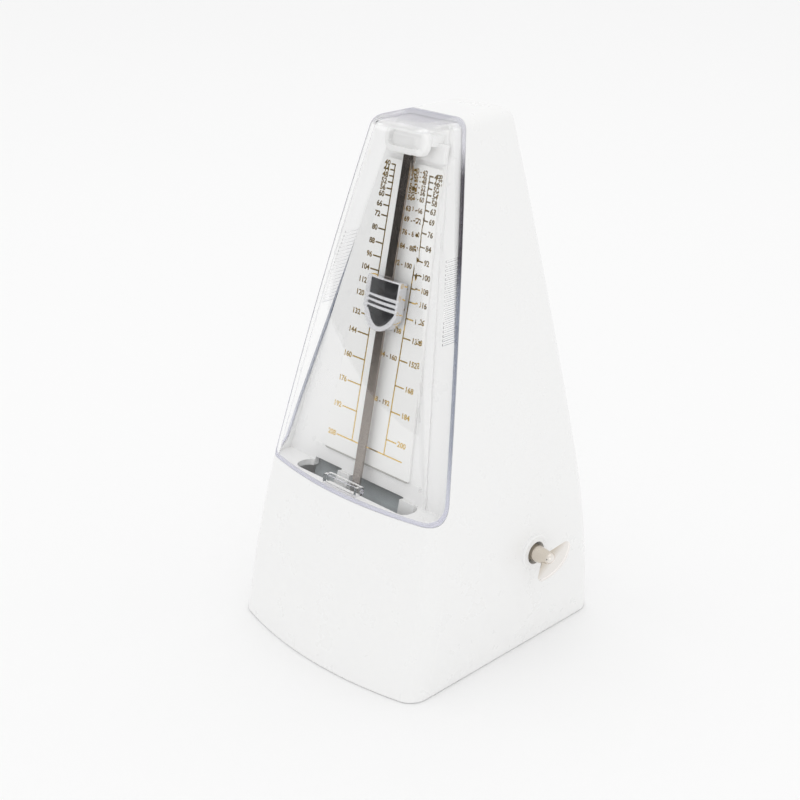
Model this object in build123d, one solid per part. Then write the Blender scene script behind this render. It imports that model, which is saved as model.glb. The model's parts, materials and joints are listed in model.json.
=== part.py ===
"""Spring-driven pendulum metronome in a white plastic pyramid case with a clear front cover.

Z is up, the front faces -Y and the winding key is on +X. The pieces are drawn round the middle of the base,
and the finished part is moved so that its origin is the middle of its box on the floor, key included.
All sizes are in millimetres and all angles in degrees.
"""
from build123d import *
import os
from functools import cache
from math import atan2, cos, degrees, hypot, pi, radians, sin, sqrt, tan

# Case
WIDTH = 110.0
DEPTH = 122.8
HEIGHT = 224.5
FACE_TILT = 12.7          # lean of the front, the scale plate and the rod
BOW_RADIUS = 190.0        # the front is bowed across its width
BELLY_HALF_WIDTH = 54.9   # the sides stand almost upright up to the belly
BELLY_Z = 40.0
KNEE_HALF_WIDTH = 49.6    # above the knee they lean in
KNEE_Z = 80.0
TOP_HALF_WIDTH = 16.75
BACK_TOP_Y = 44.2
CORNER_RADIUS = 8.5       # upright edges
TOP_RADIUS = 6.0          # edges round the top
WALL = 2.6
RIM_Z = 0.4               # lower edge of the case
FOOT_HEIGHT = 1.2
FOOT_RADIUS = 6.0
BASE_THICKNESS = 2.5

# Cover and the step it sits on
COVER_WALL = 2.0
COVER_GAP = 0.3
LEDGE_Z = 73.8            # top of the lower case, under the cover
PARTING_LOW_Y = -30.1     # rear edge of the cover at the ledge
PARTING_TOP_Y = 12.7      # rear edge of the cover at the top
PARTING_RADIUS = 10.0     # lower rear corner of the cover
FACE_DEPTH = 16.5         # case face behind the front of the cover
FACE_WALL = 2.2
LATCH_DEPTH = 6.6
RIB_COUNT = 20            # finger ribs on each side of the cover
RIB_PITCH = 1.6
RIB_LOW_Z = 143.0

# Slot, scale plate and clip, measured up the tilted face and in from its front
SLOT_HALF = 34.0
SLOT_FRONT_DEPTH = 7.0
SLOT_REAR_DEPTH = 16.3
SLOT_CORNER = 4.0
SLOT_NOTCH_TOP = 80.7     # the slot also takes the foot of the face away, up to here
SLOT_NOTCH_HALF = 31.0
PANEL_LOW = 80.0          # the middle of the face stands proud as a panel that narrows upwards
PANEL_LOW_HALF = 35.2
PANEL_HIGH = 240.0
PANEL_HIGH_HALF = 12.1
PANEL_STEP = 0.8
PLATE_LOW = 87.2
PLATE_HIGH = 214.5
PLATE_LOW_HALF = 26.0
PLATE_HIGH_HALF = 15.0
PLATE_THICKNESS = 1.2
CLIP_LOW = 216.5
CLIP_BLOCK_LOW = 222.6
CLIP_BLOCK_HIGH = 227.0
HOOD_LOW = 217.8
HOOD_HIGH = 229.0
HOOD_WIDTH = 23.0
HOOD_CORNER = 4.9
HOOD_RIM = 2.6

# Pendulum
ROD_DEPTH = 12.0          # middle of the rod behind the front of the cover
ROD_WIDTH = 4.4
ROD_THICKNESS = 1.0
ROD_LOW = 15.0
ROD_HIGH = 221.0
PIVOT = 56.3              # height of the pendulum's axis up the face
PENDULUM_ARBOR_RADIUS = 1.5
BOB = 26.3
BOB_RADIUS = 15.0
BOB_THICKNESS = 15.0
WEIGHT_TOP = 167.5
WEIGHT_HEIGHT = 22.0
WEIGHT_HALF = 9.5
WEIGHT_RIB_DROP = 8.1
WEIGHT_RIB_PITCH = 2.15
WEIGHT_FRONT = 8.0
WEIGHT_REAR = 13.4
PALLET_REACH = 5.9

# Gear train: every arbor lies along X
KEY_Y = 19.7
KEY_Z = 43.2
BARREL_TEETH = 72
SECOND_PINION_TEETH = 12
BARREL_MODULE = 0.65
SECOND_TEETH = 60
ESCAPE_PINION_TEETH = 10
SECOND_MODULE = 0.5
ESCAPE_BEHIND_ROD = 18.0
ESCAPE_TEETH = 15
ESCAPE_RADIUS = 11.0
INNER_PLATE_X = 11.0
OUTER_PLATE_X = 32.0
PLATE_SHEET = 1.5
FRAME_FRONT_Y = -28.0
FRAME_BACK_Y = 50.0
FRAME_TOP_Z = 67.0
FIT = 0.05                # running clearance round a turning arbor
TOOTH_SHARE = 0.40        # part of a tooth pitch that is metal
ADDENDUM = 0.8
DEDENDUM = 1.15

# Winding
WIND_ARBOR_RADIUS = 2.5
KEY_STUD_RADIUS = 2.0
KEY_BARREL_RADIUS = 3.1
KEY_FLARE_RADIUS = 4.3    # the barrel is thickest where it goes into the case
KEY_FLARE_X = 50.0
KEY_DOME_X = 62.8         # its other end is a dome
KEY_DOME_RADIUS = 3.0
KEY_HOLE_RADIUS = 5.1
KEY_RIM_RADIUS = 8.0
KEY_RIM_X = 55.5
KEY_WING_X = 60.8
KEY_TIP_X = 65.2
KEY_END_X = 69.8
KEY_WING_REACH = 12.2
KEY_TIP_RADIUS = 1.6
KEY_WING_THICKNESS = 1.5
KEY_ANGLE = 32.0
RATCHET_TEETH = 18
RATCHET_RADIUS = 9.0
MAINSPRING_HALF_TURNS = 12
MAINSPRING_STEP = 1.0
MAINSPRING_THICKNESS = 0.5
MAINSPRING_START = 5.6

# Where the pieces inside the case stand
SHEET_LOW = 71.0          # steel sheet behind the slot, against the back of its posts
SHEET_HIGH = 80.5
SHEET_DEPTH = 19.2
SHEET_THICKNESS = 0.8
SHEET_WIDTH = 64.0
SHEET_X = -1.0
SLOT_POSTS = [(-11.0, 3.6), (27.2, 4.3)]                                    # middle and half width
POST_RADIUS = 6.0         # posts for the base screws, grown into the side walls
SCREW_SPOTS = [(x, y) for x in (-48.0, 48.0) for y in (-36.0, 44.0)]        # base plate to case
FLANGE_SPOTS = [(x, y) for x in (6.0, 38.0) for y in (-20.0, 42.0)]         # movement to base plate
FOOT_SPOTS = [(x, y) for x in (-42.0, 42.0) for y in (-46.0, 52.0)]
PILLAR_SPOTS = [(y, z) for y in (-23.0, 45.0) for z in (14.0, 62.0)]
BRIDGE_SPOTS = [-33.0, 33.0]
BRIDGE_DEPTH = 9.0
BRIDGE_SHEET = 1.5
BRIDGE_LOW = 48.0
BRIDGE_HIGH = 64.0
FRONT_BUSH_DEPTH = 6.6
REAR_BRIDGE_DEPTH = 49.0
REAR_BRIDGE_SHEET = 2.5
REAR_SCREW_DROP = 10.0
FLANGE = 9.0
DRUM_X = 18.0
DRUM_LENGTH = 8.5
DRUM_RADIUS = 20.5
DRUM_WALL = 1.2
RIM_WIDTH = 2.5
BUSH_RADIUS = 3.2
TRAIN_PIVOT_RADIUS = 1.0
PINION_X = 25.5
SECOND_WHEEL_X = 14.2
SECOND_WHEEL_WIDTH = 1.6
SECOND_ARBOR_RADIUS = 1.6
ESCAPE_ARBOR_RADIUS = 1.4
CROWN_TIP_X = 6.5
CROWN_HUB_X = 7.6
CROWN_WEB_X = 8.8
CROWN_REAR_X = 10.2
RATCHET_X = OUTER_PLATE_X + PLATE_SHEET + 0.6
RATCHET_WIDTH = 1.6
KEY_STUD_END_X = 52.0
CLICK_AT = (KEY_Y + 2.0, KEY_Z + 17.5)

FRONT_Y = -DEPTH / 2
BACK_Y = DEPTH / 2
BOTTOM_Z = FOOT_HEIGHT
BASE_TOP_Z = FOOT_HEIGHT + BASE_THICKNESS
TAN = tan(radians(FACE_TILT))
COS = cos(radians(FACE_TILT))
SIN = sin(radians(FACE_TILT))
FACE = Plane(origin=(0, FRONT_Y, 0), x_dir=(1, 0, 0), z_dir=(0, -COS, SIN))
FAR = 300.0
LOW = (Align.CENTER, Align.CENTER, Align.MIN)
UP_FACE = (Align.CENTER, Align.MIN, Align.MIN)


def on_face(x, up, depth):
    """Place on the tilted face: its Z points out of the front and its Y up the face."""
    return FACE * Pos(x, up, -depth)


def across(y, z, x):
    """Place on an arbor that lies along X: its Z points along +X."""
    return Plane.YZ * Pos(y, z, x)


def face_point(up, depth):
    """Y and Z of a point on the middle of the tilted face."""
    return FRONT_Y + up * SIN + depth * COS, up * COS - depth * SIN


def face_y(z, depth):
    """Y of the plane that lies depth behind the front, at height z."""
    return FRONT_Y + z * TAN + depth / COS


def parting_y(z):
    """Y of the cover's rear edge at height z."""
    return PARTING_LOW_Y + (PARTING_TOP_Y - PARTING_LOW_Y) * (z - LEDGE_Z) / (HEIGHT - LEDGE_Z)


def disc(place, radius, length):
    return place * Cylinder(radius, length, align=LOW)


def tube(place, radius, bore, length):
    return disc(place, radius, length) - disc(place, bore, length)


def group(solids):
    return Compound(list(solids))


def side_prism(points, corner=None, radius=0.0):
    """Prism along X with the given side view, with one corner rounded if asked."""
    face = make_face(Polyline(*points, close=True))
    if corner:
        face = fillet(face.vertices().sort_by_distance(Vector(*corner))[0], radius)
    return extrude(Plane.YZ * face, FAR / 2, both=True)


@cache
def pyramid(inset):
    """Outer form of the case, drawn in by inset on every side but the bottom."""
    low = WIDTH / 2 - inset
    high = TOP_HALF_WIDTH - inset
    knee = (KNEE_HALF_WIDTH - inset, KNEE_Z)
    lower = ThreePointArc((low, 0), (BELLY_HALF_WIDTH - inset, BELLY_Z), knee)
    upper = TangentArc(knee, (high, HEIGHT), tangent=lower % 1)
    outline = [Line((-low, 0), (low, 0)), lower, upper, Line((high, HEIGHT), (-high, HEIGHT))]
    outline += [mirror(side, about=Plane.YZ) for side in (lower, upper)]
    form = extrude(Plane.XZ * make_face(Curve() + outline), FAR / 2, both=True)
    back_low = BACK_Y - inset
    back_high = BACK_TOP_Y - inset
    ahead = FRONT_Y - WALL
    top = HEIGHT - inset
    profile = [
        Line((ahead, 0), (back_low, 0)),
        Line((back_low, 0), (back_high, HEIGHT)),
        Line((back_high, HEIGHT), (ahead + HEIGHT * TAN, HEIGHT)),
        Line((ahead + HEIGHT * TAN, HEIGHT), (ahead, 0)),
    ]
    form &= extrude(Plane.YZ * make_face(Curve() + profile), FAR / 2, both=True)
    form &= on_face(0, HEIGHT / 2, BOW_RADIUS) * Rot(90, 0, 0) * Cylinder(BOW_RADIUS - inset, 2 * HEIGHT)
    if inset:
        form -= Pos(0, 0, top) * Box(FAR, FAR, FAR, align=LOW)
    upright = form.edges().filter_by(lambda e: e.bounding_box().size.Z > KNEE_Z / 2)
    form = fillet(upright, CORNER_RADIUS - inset)
    rim = form.edges().filter_by_position(Axis.Z, top - 0.01, top + 0.01)
    return fillet(rim, TOP_RADIUS - inset)


def cover_space(gap):
    """All that lies in front of the parting line and above the ledge, drawn in by gap."""
    low = (parting_y(LEDGE_Z) - gap, LEDGE_Z + gap)
    high = (parting_y(FAR) - gap, FAR)
    return side_prism([(-FAR, low[1]), low, high, (-FAR, FAR)], low, PARTING_RADIUS)


def behind_face(depth, low_z):
    """All that lies behind the plane at depth, above low_z."""
    return side_prism([(face_y(low_z, depth), low_z), (FAR, low_z), (FAR, FAR), (face_y(FAR, depth), FAR)])


def clear_cover():
    space = cover_space(COVER_GAP)
    shell = (pyramid(0) - pyramid(COVER_WALL)) & space
    ribs = []
    for i in range(RIB_COUNT):
        z = RIB_LOW_Z + i * RIB_PITCH
        ribs.append(Pos(0, 0, z) * Box(FAR, FAR, RIB_PITCH / 2, align=LOW))
    y = parting_y(RIB_LOW_Z)
    grip = side_prism([
        (y - 9, RIB_LOW_Z), (y - 1, RIB_LOW_Z),
        (parting_y(RIB_LOW_Z + RIB_COUNT * RIB_PITCH) - 1, RIB_LOW_Z + RIB_COUNT * RIB_PITCH),
        (parting_y(RIB_LOW_Z + RIB_COUNT * RIB_PITCH) - 9, RIB_LOW_Z + RIB_COUNT * RIB_PITCH),
    ])
    skin = (pyramid(0) - pyramid(0.35)) & grip
    shell -= skin & (Part() + ribs)
    latch_low = (LEDGE_Z + COVER_GAP + LATCH_DEPTH * SIN) / COS
    latch = on_face(0, latch_low, LATCH_DEPTH) * Box(20, 4.2, LATCH_DEPTH - 1, align=UP_FACE)
    latch -= on_face(0, latch_low + 1.0, LATCH_DEPTH - 1.4) * Box(17, FAR, 2.4, align=UP_FACE)
    return shell + latch


def case_shell():
    inset = COVER_WALL + COVER_GAP
    case = pyramid(0) - cover_space(0)
    boss = pyramid(inset) & behind_face(FACE_DEPTH, LEDGE_Z - 1)
    case += boss
    pocket = pyramid(inset) - behind_face(FACE_DEPTH, 0)
    case -= pocket & (Pos(0, 0, LEDGE_Z) * Box(FAR, FAR, FAR, align=LOW))
    under = LEDGE_Z - WALL
    rear = behind_face(FACE_DEPTH + FACE_WALL, under - 5)
    lower = pyramid(WALL) & (Pos(0, 0, -1) * Box(FAR, FAR, under + 1, align=LOW))
    middle = pyramid(WALL) & rear & side_prism([
        (parting_y(0) + WALL, 0), (parting_y(FAR) + WALL, FAR), (FAR, FAR), (FAR, 0),
    ])
    case -= lower + middle + (pyramid(inset + FACE_WALL) & rear)
    case -= Box(FAR, FAR, 2 * RIM_Z)
    case -= (pyramid(inset) & face_layer()) - panel()
    case += case_fittings()
    slot = RectangleRounded(2 * SLOT_HALF, SLOT_REAR_DEPTH - SLOT_FRONT_DEPTH, SLOT_CORNER)
    middle = (SLOT_REAR_DEPTH + SLOT_FRONT_DEPTH) / 2
    case -= on_face(0, PIVOT + 10, middle) * Rot(-90, 0, 0) * extrude(slot, 22)
    notch = on_face(0, SLOT_NOTCH_TOP - 10, FACE_DEPTH + 4)
    case -= notch * Box(2 * SLOT_NOTCH_HALF, 10, 5.5, align=UP_FACE)
    for x, half in SLOT_POSTS:
        case += on_face(x, 61, 19) * Box(2 * half, 19, 4.4, align=UP_FACE)
        case += on_face(x, 79, SHEET_DEPTH) * Box(2 * half, 4.5, 2.4, align=UP_FACE)
    rim = disc(across(KEY_Y, KEY_Z, KEY_RIM_X - 5), KEY_RIM_RADIUS, 5)
    rim = fillet(rim.edges().sort_by(Axis.X)[-1], 0.8)
    case += rim
    return case - disc(across(KEY_Y, KEY_Z, KEY_RIM_X - 12), KEY_HOLE_RADIUS, 20)


def face_layer():
    """Front layer of the face, as thick as the panel's step."""
    return behind_face(FACE_DEPTH, LEDGE_Z) - behind_face(FACE_DEPTH + PANEL_STEP, LEDGE_Z)


def panel():
    points = [(-PANEL_LOW_HALF, PANEL_LOW - 5), (PANEL_LOW_HALF, PANEL_LOW - 5), (PANEL_LOW_HALF, PANEL_LOW),
              (PANEL_HIGH_HALF, PANEL_HIGH), (-PANEL_HIGH_HALF, PANEL_HIGH), (-PANEL_LOW_HALF, PANEL_LOW)]
    face = make_face(Polyline(*points, close=True))
    return FACE * Pos(0, 0, -FACE_DEPTH - 1) * extrude(face, 2)


def case_fittings():
    """Screw posts for the base plate, posts for the front bridge and two lugs under the scale plate."""
    posts = Part()
    for x, y in SCREW_SPOTS:
        posts += disc(Pos(x, y, BASE_TOP_Z), POST_RADIUS, 13) - disc(Pos(x, y, BASE_TOP_Z), 1.35, 10)
    for x in BRIDGE_SPOTS:
        place = on_face(x, (BRIDGE_LOW + BRIDGE_HIGH) / 2, BRIDGE_DEPTH)
        posts += disc(place, 3.6, BRIDGE_DEPTH - 1.2) - disc(place, 1.25, 5)
    posts &= pyramid(1.0)
    for side in (-1, 1):
        posts += on_face(side * 29.5, PLATE_LOW - 0.4, FACE_DEPTH + 0.5) * Box(4, 1.6, 2.2, align=LOW)
    return posts


def base_plate():
    plate = pyramid(WALL + COVER_GAP) & (Pos(0, 0, BOTTOM_Z) * Box(FAR, FAR, BASE_THICKNESS, align=LOW))
    for x, y in SCREW_SPOTS + FLANGE_SPOTS:
        plate -= disc(Pos(x, y, 0), 1.6, 20)
        plate -= disc(Pos(x, y, 0), 3.2, BOTTOM_Z + 1.4)
    return plate


def feet():
    foot = Cylinder(FOOT_RADIUS, FOOT_HEIGHT, align=LOW)
    foot = fillet(foot.edges().group_by(Axis.Z)[0], 0.4)
    return group(Pos(x, y, 0) * foot for x, y in FOOT_SPOTS)


def pan_screw(head, shank, length):
    """Screw with its head below and its shank along +Z."""
    screw = Cylinder(head, 1.2, align=LOW) + disc(Pos(0, 0, 1.2), shank, length)
    cross = Box(2.6, 0.6, 0.7, align=LOW) + Box(0.6, 2.6, 0.7, align=LOW)
    return screw - cross


def base_screws():
    return group(Pos(x, y, BOTTOM_Z + 0.2) * pan_screw(2.9, 1.3, 10) for x, y in SCREW_SPOTS)


def movement_screws():
    return group(Pos(x, y, BOTTOM_Z + 0.2) * pan_screw(2.9, 1.3, 5) for x, y in FLANGE_SPOTS)


def scale_plate():
    points = [(-PLATE_LOW_HALF, PLATE_LOW), (PLATE_LOW_HALF, PLATE_LOW),
              (PLATE_HIGH_HALF, PLATE_HIGH), (-PLATE_HIGH_HALF, PLATE_HIGH)]
    face = make_face(Polyline(*points, close=True))
    face = fillet(face.vertices(), 2.0)
    return FACE * Pos(0, 0, -FACE_DEPTH) * extrude(face, PLATE_THICKNESS)


def rod_clip():
    """Pad behind the rod's tip, a block above it and a dished hood in front of it, open at both sides."""
    rear = ROD_DEPTH - ROD_THICKNESS / 2 - 0.4
    front = rear - 2.9
    floor = rear - 0.8
    tall = HOOD_HIGH - HOOD_LOW
    middle = (HOOD_HIGH + HOOD_LOW) / 2
    pad = on_face(0, CLIP_LOW, FACE_DEPTH) * Box(31, 7.5, 1.9, align=UP_FACE)
    block = on_face(0, CLIP_BLOCK_LOW, FACE_DEPTH) * Box(
        24, CLIP_BLOCK_HIGH - CLIP_BLOCK_LOW, FACE_DEPTH - rear, align=UP_FACE)
    hood = on_face(0, middle, rear) * extrude(RectangleRounded(HOOD_WIDTH, tall, HOOD_CORNER), rear - front)
    hood = fillet(hood.faces().sort_by(Axis(FACE.origin, FACE.z_dir))[-1].edges(), 1.2)
    dish = RectangleRounded(HOOD_WIDTH - 2 * HOOD_RIM, tall - 2 * HOOD_RIM, HOOD_CORNER - HOOD_RIM)
    dish = on_face(0, middle, floor) * extrude(dish, 3)
    return pad + block + hood - dish


def gear_face(teeth, module, phase):
    """Gear outline with straight-sided teeth, one of them pointing along phase."""
    pitch = teeth * module / 2
    tip = pitch + ADDENDUM * module
    root = pitch - DEDENDUM * module
    half = TOOTH_SHARE * 180 / teeth
    tip_half = half - degrees(ADDENDUM * module * tan(radians(20)) / tip)
    points = []
    for i in range(teeth):
        centre = phase + i * 360 / teeth
        for radius, angle in ((root, -half), (pitch, -half), (tip, -tip_half), (tip, tip_half), (pitch, half), (root, half)):
            a = radians(centre + angle)
            points.append((radius * cos(a), radius * sin(a)))
    return make_face(Polyline(*points, close=True))


def gear(place, teeth, module, phase, width):
    return place * extrude(gear_face(teeth, module, phase), width)


BARREL_AT = (KEY_Y, KEY_Z)
PIVOT_AT = face_point(PIVOT, ROD_DEPTH)
ESCAPE_AT = face_point(PIVOT, ROD_DEPTH + ESCAPE_BEHIND_ROD)
BARREL_TO_SECOND = BARREL_MODULE * (BARREL_TEETH + SECOND_PINION_TEETH) / 2
SECOND_TO_ESCAPE = SECOND_MODULE * (SECOND_TEETH + ESCAPE_PINION_TEETH) / 2


def second_axis():
    """Y and Z of the second arbor, at its two mesh distances, on the upper side."""
    dy = ESCAPE_AT[0] - BARREL_AT[0]
    dz = ESCAPE_AT[1] - BARREL_AT[1]
    span = hypot(dy, dz)
    along = (BARREL_TO_SECOND ** 2 - SECOND_TO_ESCAPE ** 2 + span ** 2) / (2 * span)
    off = sqrt(BARREL_TO_SECOND ** 2 - along ** 2)
    return (BARREL_AT[0] + (along * dy + off * dz) / span, BARREL_AT[1] + (along * dz - off * dy) / span)


SECOND_AT = second_axis()
TO_SECOND = degrees(atan2(SECOND_AT[1] - BARREL_AT[1], SECOND_AT[0] - BARREL_AT[0]))
TO_ESCAPE = degrees(atan2(ESCAPE_AT[1] - SECOND_AT[1], ESCAPE_AT[0] - SECOND_AT[0]))


def frame_plate(x, flange_side):
    """Upright steel plate with a foot bent towards flange_side."""
    high = FRAME_TOP_Z - BASE_TOP_Z
    length = FRAME_BACK_Y - FRAME_FRONT_Y
    middle = (FRAME_BACK_Y + FRAME_FRONT_Y) / 2
    plate = Pos(x + PLATE_SHEET / 2, middle, BASE_TOP_Z) * Box(PLATE_SHEET, length, high, align=LOW)
    plate = fillet(plate.edges().filter_by(Axis.X).group_by(Axis.Z)[-1], 8)
    foot_x = x + PLATE_SHEET / 2 + flange_side * FLANGE / 2
    plate += Pos(foot_x, middle, BASE_TOP_Z) * Box(FLANGE + PLATE_SHEET, length, PLATE_SHEET, align=LOW)
    for px, py in FLANGE_SPOTS:
        plate -= disc(Pos(px, py, 0), 1.35, 10)
    for y, z in PILLAR_SPOTS:
        plate -= disc(across(y, z, x - 1), 1.6, 4)
    for y, z in (SECOND_AT, ESCAPE_AT, BARREL_AT):
        plate -= disc(across(y, z, x - 1), BUSH_RADIUS + FIT, 4)
    return plate


def inner_plate():
    y, z = face_point(PIVOT, REAR_BRIDGE_DEPTH)
    return frame_plate(INNER_PLATE_X, -1) - disc(across(y, z - REAR_SCREW_DROP, INNER_PLATE_X - 1), 1.25, 4)


def outer_plate():
    plate = frame_plate(OUTER_PLATE_X, 1)
    y, z = CLICK_AT
    return plate - disc(across(y, z, OUTER_PLATE_X - 1), 1.25, 4)


def pillars():
    inner = INNER_PLATE_X + PLATE_SHEET
    length = OUTER_PLATE_X - inner
    return group(disc(across(y, z, inner), 3.0, length) - disc(across(y, z, inner), 1.3, 6)
                 - disc(across(y, z, OUTER_PLATE_X - 6), 1.3, 6) for y, z in PILLAR_SPOTS)


def pillar_screws():
    screws = []
    for y, z in PILLAR_SPOTS:
        screws.append(across(y, z, INNER_PLATE_X - 1.2) * pan_screw(2.8, 1.25, 6))
        outer = OUTER_PLATE_X + PLATE_SHEET + 1.2
        screws.append(across(y, z, outer) * Rot(180, 0, 0) * pan_screw(2.8, 1.25, 6))
    return group(screws)


def train_bushes():
    """Brass bushes pressed into the two plates, one for each end of each arbor."""
    bushes = []
    for x in (INNER_PLATE_X, OUTER_PLATE_X):
        place = across(*SECOND_AT, x)
        bushes.append(tube(place, BUSH_RADIUS, TRAIN_PIVOT_RADIUS + FIT, PLATE_SHEET))
    bushes.append(tube(across(*ESCAPE_AT, OUTER_PLATE_X), BUSH_RADIUS, TRAIN_PIVOT_RADIUS + FIT, PLATE_SHEET))
    bushes.append(tube(across(*ESCAPE_AT, INNER_PLATE_X), BUSH_RADIUS, ESCAPE_ARBOR_RADIUS + FIT, PLATE_SHEET))
    bushes.append(tube(across(*BARREL_AT, INNER_PLATE_X), BUSH_RADIUS, KEY_STUD_RADIUS + FIT, PLATE_SHEET))
    bushes.append(tube(across(*BARREL_AT, OUTER_PLATE_X), BUSH_RADIUS, WIND_ARBOR_RADIUS + FIT, PLATE_SHEET))
    return group(bushes)


def spring_barrel():
    """Drum open towards -X, with the great wheel's teeth round its closed end."""
    rim_x = DRUM_X + DRUM_LENGTH
    drum = disc(across(*BARREL_AT, DRUM_X), DRUM_RADIUS, DRUM_LENGTH)
    drum += gear(across(*BARREL_AT, rim_x), BARREL_TEETH, BARREL_MODULE, TO_SECOND, RIM_WIDTH)
    drum -= disc(across(*BARREL_AT, DRUM_X), DRUM_RADIUS - DRUM_WALL, DRUM_LENGTH)
    return drum - disc(across(*BARREL_AT, DRUM_X), WIND_ARBOR_RADIUS + FIT, DRUM_LENGTH + 2 * RIM_WIDTH)


def barrel_cover():
    place = across(*BARREL_AT, DRUM_X)
    return tube(place, DRUM_RADIUS - DRUM_WALL - 0.02, WIND_ARBOR_RADIUS + FIT, 1.0)


def spiral_arcs(start):
    """Half circles of a spiral whose radius grows by one step each half turn."""
    arcs = []
    for i in range(MAINSPRING_HALF_TURNS):
        radius = start + i * MAINSPRING_STEP
        centre = MAINSPRING_STEP / 2 if i % 2 else -MAINSPRING_STEP / 2
        side = -1 if i % 2 else 1
        ends = [(centre + side * radius, 0), (centre, side * radius), (centre - side * radius, 0)]
        arcs.append(ThreePointArc(*ends))
    return arcs


def mainspring():
    """Flat spiral strip of six turns between the arbor and the drum."""
    inner = spiral_arcs(MAINSPRING_START)
    outer = spiral_arcs(MAINSPRING_START + MAINSPRING_THICKNESS)
    caps = [Line(inner[0] @ 0, outer[0] @ 0), Line(inner[-1] @ 1, outer[-1] @ 1)]
    strip = make_face(Curve() + inner + outer + caps)
    print("mainspring gap", 2 * MAINSPRING_STEP - MAINSPRING_THICKNESS)
    return across(*BARREL_AT, DRUM_X + 1.5) * extrude(strip, DRUM_LENGTH - 2.0)


def winding_arbor():
    inner = INNER_PLATE_X - 1.0
    body_x = INNER_PLATE_X + PLATE_SHEET + 0.3
    arbor = disc(across(*BARREL_AT, inner), KEY_STUD_RADIUS, body_x - inner)
    arbor += disc(across(*BARREL_AT, body_x), WIND_ARBOR_RADIUS, RATCHET_X + RATCHET_WIDTH - body_x)
    arbor += disc(across(*BARREL_AT, RATCHET_X), KEY_STUD_RADIUS, KEY_STUD_END_X - RATCHET_X)
    return arbor


def ratchet_wheel():
    points = []
    root = RATCHET_RADIUS - 1.6
    for i in range(RATCHET_TEETH):
        a = radians(i * 360 / RATCHET_TEETH)
        b = radians((i + 0.12) * 360 / RATCHET_TEETH)
        points.append((RATCHET_RADIUS * cos(a), RATCHET_RADIUS * sin(a)))
        points.append((root * cos(b), root * sin(b)))
    wheel = across(*BARREL_AT, RATCHET_X) * extrude(make_face(Polyline(*points, close=True)), RATCHET_WIDTH)
    return wheel - disc(across(*BARREL_AT, RATCHET_X), WIND_ARBOR_RADIUS + 0.02, RATCHET_WIDTH)


def click():
    """Pawl on the outer plate, its beak just outside the ratchet's teeth."""
    y, z = CLICK_AT
    points = [(-3.2, 2.6), (3.2, 2.6), (3.2, -2.6), (-7.2, -9.0), (-8.4, -7.8), (-3.2, -2.0)]
    arm = across(y, z, RATCHET_X) * extrude(make_face(Polyline(*points, close=True)), RATCHET_WIDTH)
    return arm - disc(across(y, z, RATCHET_X), 1.5 + FIT, RATCHET_WIDTH)


def click_screw():
    """Shoulder screw that the click turns on."""
    y, z = CLICK_AT
    plate = OUTER_PLATE_X + PLATE_SHEET
    head = RATCHET_X + RATCHET_WIDTH + 0.2
    screw = disc(across(y, z, OUTER_PLATE_X), 1.2, PLATE_SHEET)
    screw += disc(across(y, z, plate), 1.5, head - plate)
    return screw + disc(across(y, z, head), 2.8, 1.2)


def click_spring():
    """Thin leaf that presses on the click, held by a foot on the outer plate."""
    y, z = CLICK_AT
    plate = OUTER_PLATE_X + PLATE_SHEET
    foot = across(y + 12, z - 1, plate) * Box(5, 5, 2.2, align=LOW)
    leaf = across(y + 4, z + 3.7, plate + 0.8) * Box(19, 0.4, 1.2, align=LOW)
    post = across(y + 12, z + 1.7, plate) * Box(1.2, 4.4, 2.0, align=LOW)
    return foot + leaf + post


def winding_key():
    """Flared barrel with a domed end and a fan-shaped wing, turned to the angle it was left at."""
    start = RATCHET_X + RATCHET_WIDTH + 2.0
    key = disc(across(KEY_Y, KEY_Z, start), KEY_BARREL_RADIUS, KEY_FLARE_X - start)
    flare = Cone(KEY_FLARE_RADIUS, KEY_DOME_RADIUS, KEY_DOME_X - KEY_FLARE_X, align=LOW)
    key += across(KEY_Y, KEY_Z, KEY_FLARE_X) * flare
    key += across(KEY_Y, KEY_Z, KEY_DOME_X) * Sphere(KEY_DOME_RADIUS)
    key += Pos(0, KEY_Y, KEY_Z) * Rot(KEY_ANGLE, 0, 0) * key_wing()
    return key - disc(across(KEY_Y, KEY_Z, start), KEY_STUD_RADIUS + 0.02, KEY_STUD_END_X - start)


def key_wing():
    """Fan that runs from the barrel out to two tips, with a bowed outer edge."""
    tips = [(KEY_TIP_X, -KEY_WING_REACH), (KEY_TIP_X, KEY_WING_REACH)]
    root = KEY_DOME_RADIUS - 0.3
    outline = [
        ThreePointArc(tips[0], (KEY_END_X, 0), tips[1]),
        Line(tips[1], (KEY_WING_X, root)),
        Line((KEY_WING_X, root), (KEY_WING_X, -root)),
        Line((KEY_WING_X, -root), tips[0]),
    ]
    face = make_face(Curve() + outline)
    face = fillet(face.vertices().group_by(Axis.X)[-1], KEY_TIP_RADIUS)
    half = KEY_WING_THICKNESS / 2
    wing = extrude(face, half, both=True)
    rims = wing.edges().filter_by_position(Axis.Z, half - 0.01, half + 0.01)
    rims += wing.edges().filter_by_position(Axis.Z, -half - 0.01, -half + 0.01)
    return fillet(rims, 0.4)


def stepped_arbor(at, x0, x1, radius):
    """Arbor with a thin pivot at each end, running in the plates' bushes."""
    arbor = disc(across(*at, x0), radius, x1 - x0)
    arbor += disc(across(*at, INNER_PLATE_X), TRAIN_PIVOT_RADIUS, x0 - INNER_PLATE_X)
    return arbor + disc(across(*at, x1), TRAIN_PIVOT_RADIUS, OUTER_PLATE_X + PLATE_SHEET - x1)


def second_arbor():
    arbor = stepped_arbor(SECOND_AT, INNER_PLATE_X + PLATE_SHEET + 0.3, OUTER_PLATE_X - 0.3, SECOND_ARBOR_RADIUS)
    phase = TO_SECOND + 180 + 180 / SECOND_PINION_TEETH
    return arbor + gear(across(*SECOND_AT, PINION_X), SECOND_PINION_TEETH, BARREL_MODULE, phase, 4.5)


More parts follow.
